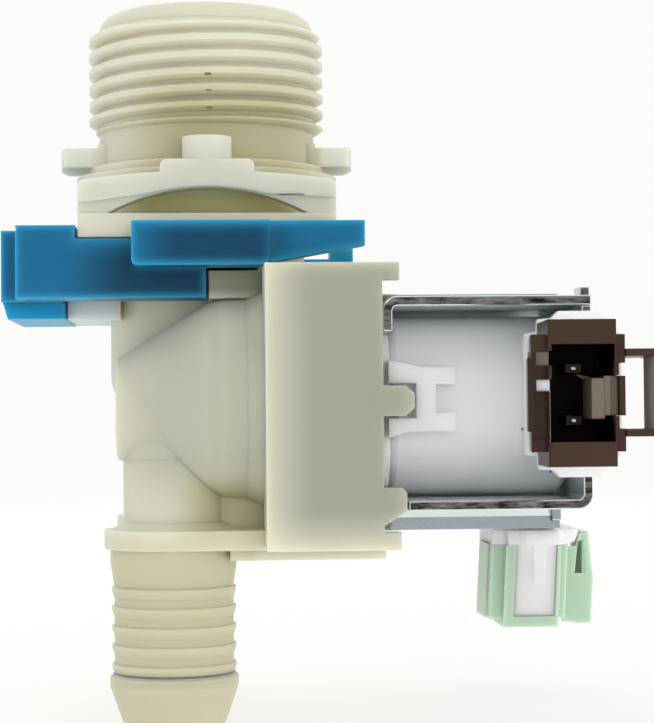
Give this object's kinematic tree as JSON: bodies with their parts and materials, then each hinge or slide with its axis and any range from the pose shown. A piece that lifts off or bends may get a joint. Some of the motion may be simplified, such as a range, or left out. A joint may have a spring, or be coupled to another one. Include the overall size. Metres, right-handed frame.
{
  "type": "washing machine inlet valve",
  "caption": "Solenoid water inlet valve with a threaded spigot, bayonet flange, blue locking slide and coil units side by side that feed ribbed hose barbs.",
  "frame": {"origin": "on the inlet axis, at the flange's top face that seats on the machine's panel", "axes": "+Z along the inlet spigot and out of it, +X towards the coils, -Y towards the unit whose plug points forward"},
  "size_m": [0.0674, 0.0715, 0.0778],
  "materials": {
    "nylon": "satin, slightly translucent",
    "blue_plastic": "satin",
    "white_plastic": "satin",
    "natural_plastic": "matte",
    "brown_plastic": "satin",
    "green_plastic": "satin",
    "rubber": "matte",
    "steel": "zinc plated sheet with cut edges",
    "spring_steel": "bright",
    "contact": "tinned",
    "copper": "enamelled copper wire"
  },
  "bodies": {
    "valve": {"valve_body": "nylon", "inlet_strainer": "natural_plastic", "regulator_seat": "natural_plastic", "flow_regulator": "rubber", "front_diaphragm": "rubber", "front_bonnet": "natural_plastic", "front_flux_sleeve": "steel", "front_bobbin": "natural_plastic", "front_winding": "copper", "front_coil_case": "white_plastic", "front_terminals": "contact", "front_connector": "brown_plastic", "front_yoke_a": "steel", "front_yoke_b": "steel", "rear_diaphragm": "rubber", "rear_bonnet": "natural_plastic", "rear_flux_sleeve": "steel", "rear_bobbin": "natural_plastic", "rear_winding": "copper", "rear_coil_case": "white_plastic", "rear_terminals": "contact", "rear_connector": "green_plastic", "rear_yoke_a": "steel", "rear_yoke_b": "steel"},
    "slide": {"lock_slide": "blue_plastic"},
    "front_core": {"front_plunger": "steel", "front_plunger_seal": "rubber", "front_spring": "spring_steel"},
    "front_pilot": {"front_diaphragm_insert": "natural_plastic"},
    "rear_core": {"rear_plunger": "steel", "rear_plunger_seal": "rubber", "rear_spring": "spring_steel"},
    "rear_pilot": {"rear_diaphragm_insert": "natural_plastic"}
  },
  "joints": [
    {"name": "lock_slide_out", "type": "slide", "parent": "valve", "child": "slide", "axis": [-1, 0, 0], "range_m": [0, 0.005]},
    {"name": "front_plunger_lift", "type": "slide", "parent": "valve", "child": "front_core", "axis": [1, 0, 0], "range_m": [0, 0.003], "stiffness_N_per_m": 150, "springref_m": -0.004, "deforming": ["front_spring"]},
    {"name": "front_pilot_lift", "type": "slide", "parent": "valve", "child": "front_pilot", "axis": [1, 0, 0], "range_m": [0, 0.002], "deforming": ["front_diaphragm"]},
    {"name": "rear_plunger_lift", "type": "slide", "parent": "valve", "child": "rear_core", "axis": [1, 0, 0], "range_m": [0, 0.003], "stiffness_N_per_m": 150, "springref_m": -0.004, "deforming": ["rear_spring"]},
    {"name": "rear_pilot_lift", "type": "slide", "parent": "valve", "child": "rear_pilot", "axis": [1, 0, 0], "range_m": [0, 0.002], "deforming": ["rear_diaphragm"]}
  ],
  "couplings": [
    {"joint": "front_pilot_lift", "follows": "front_plunger_lift", "ratio": 0.65},
    {"joint": "rear_pilot_lift", "follows": "rear_plunger_lift", "ratio": 0.65}
  ]
}
